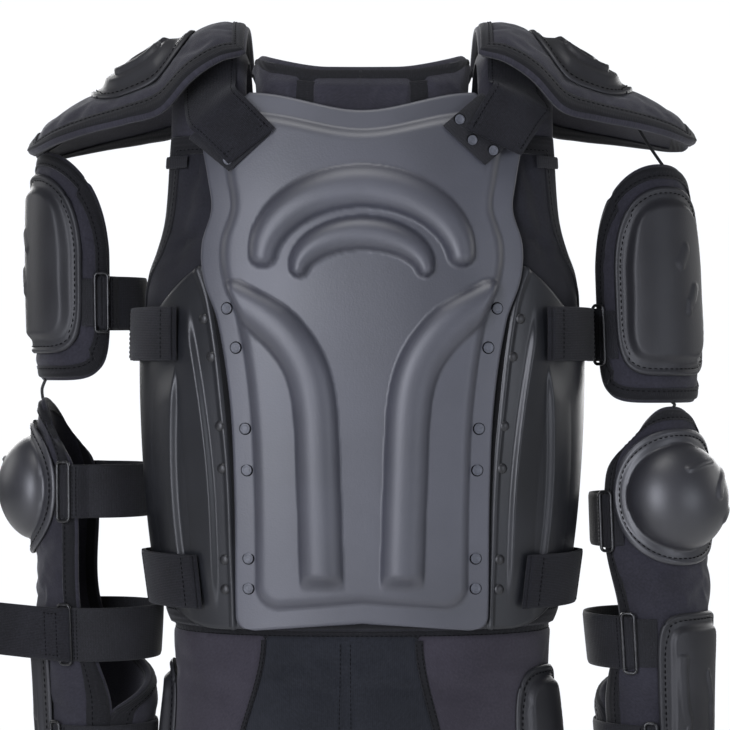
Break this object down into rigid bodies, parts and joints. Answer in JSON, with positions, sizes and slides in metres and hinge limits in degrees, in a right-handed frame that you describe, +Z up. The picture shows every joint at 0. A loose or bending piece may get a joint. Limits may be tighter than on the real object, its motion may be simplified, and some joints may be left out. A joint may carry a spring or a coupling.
{
  "type": "riot suit",
  "caption": "Padded riot suit: vest with moulded chest, side and back plates, shoulder caps, arm, elbow and forearm guards and a hip and groin guard.",
  "frame": {"origin": "the middle of the neck opening at the height of the shoulder seats, where the suit hangs on the wearer's shoulders", "axes": "+Z up, -Y out of the wearer's chest, +X to the wearer's left, which is the picture's right"},
  "size_m": [0.6974, 0.2884, 0.8558],
  "materials": {
    "nylon_padding": "black padded nylon with woven binding",
    "knit_panel": "black knitted cloth",
    "moulded_grey_plate": "satin dark grey moulding",
    "moulded_black_plate": "satin black moulding",
    "moulded_shell": "semi-gloss black moulding with a fine grain",
    "webbing": "black woven webbing and loop pile",
    "black_wire": "black coated wire",
    "elastic_cord": "black elastic cord"
  },
  "bodies": {
    "root": {"back_plate": "moulded_grey_plate", "chest_plate": "moulded_grey_plate", "collar": "nylon_padding", "elbow_cord_left": "elastic_cord", "elbow_cord_right": "elastic_cord", "elbow_cup_left": "moulded_shell", "elbow_cup_right": "moulded_shell", "elbow_ring_left": "black_wire", "elbow_ring_right": "black_wire", "elbow_strap_left": "webbing", "elbow_strap_right": "webbing", "forearm_pad_left": "nylon_padding", "forearm_pad_right": "nylon_padding", "forearm_ring_left": "black_wire", "forearm_ring_right": "black_wire", "forearm_shell_left": "moulded_shell", "forearm_shell_right": "moulded_shell", "forearm_strap_end_left": "webbing", "forearm_strap_left": "webbing", "forearm_strap_right": "webbing", "groin_panel": "knit_panel", "hip_shell_left": "moulded_shell", "hip_shell_right": "moulded_shell", "shoulder_cap_left": "nylon_padding", "shoulder_cap_right": "nylon_padding", "shoulder_cord_left": "elastic_cord", "shoulder_cord_right": "elastic_cord", "shoulder_shell_left": "moulded_shell", "shoulder_shell_right": "moulded_shell", "shoulder_strap_left": "webbing", "shoulder_strap_right": "webbing", "side_plate_left": "moulded_black_plate", "side_plate_right": "moulded_black_plate", "side_strap_lower_left": "webbing", "side_strap_lower_right": "webbing", "side_strap_upper_left": "webbing", "side_strap_upper_right": "webbing", "strap_anchor_left": "webbing", "strap_anchor_right": "webbing", "thigh_panel_left": "nylon_padding", "thigh_panel_right": "nylon_padding", "upper_arm_pad_left": "nylon_padding", "upper_arm_pad_right": "nylon_padding", "upper_arm_ring_left": "black_wire", "upper_arm_ring_right": "black_wire", "upper_arm_shell_left": "moulded_shell", "upper_arm_shell_right": "moulded_shell", "upper_arm_strap_left": "webbing", "upper_arm_strap_right": "webbing", "vest_back": "nylon_padding", "vest_front": "nylon_padding", "waist_belt": "nylon_padding", "wrist_ring_left": "black_wire", "wrist_ring_right": "black_wire", "wrist_strap_left": "webbing", "wrist_strap_right": "webbing", "yoke_left": "nylon_padding", "yoke_right": "nylon_padding"}
  },
  "joints": []
}
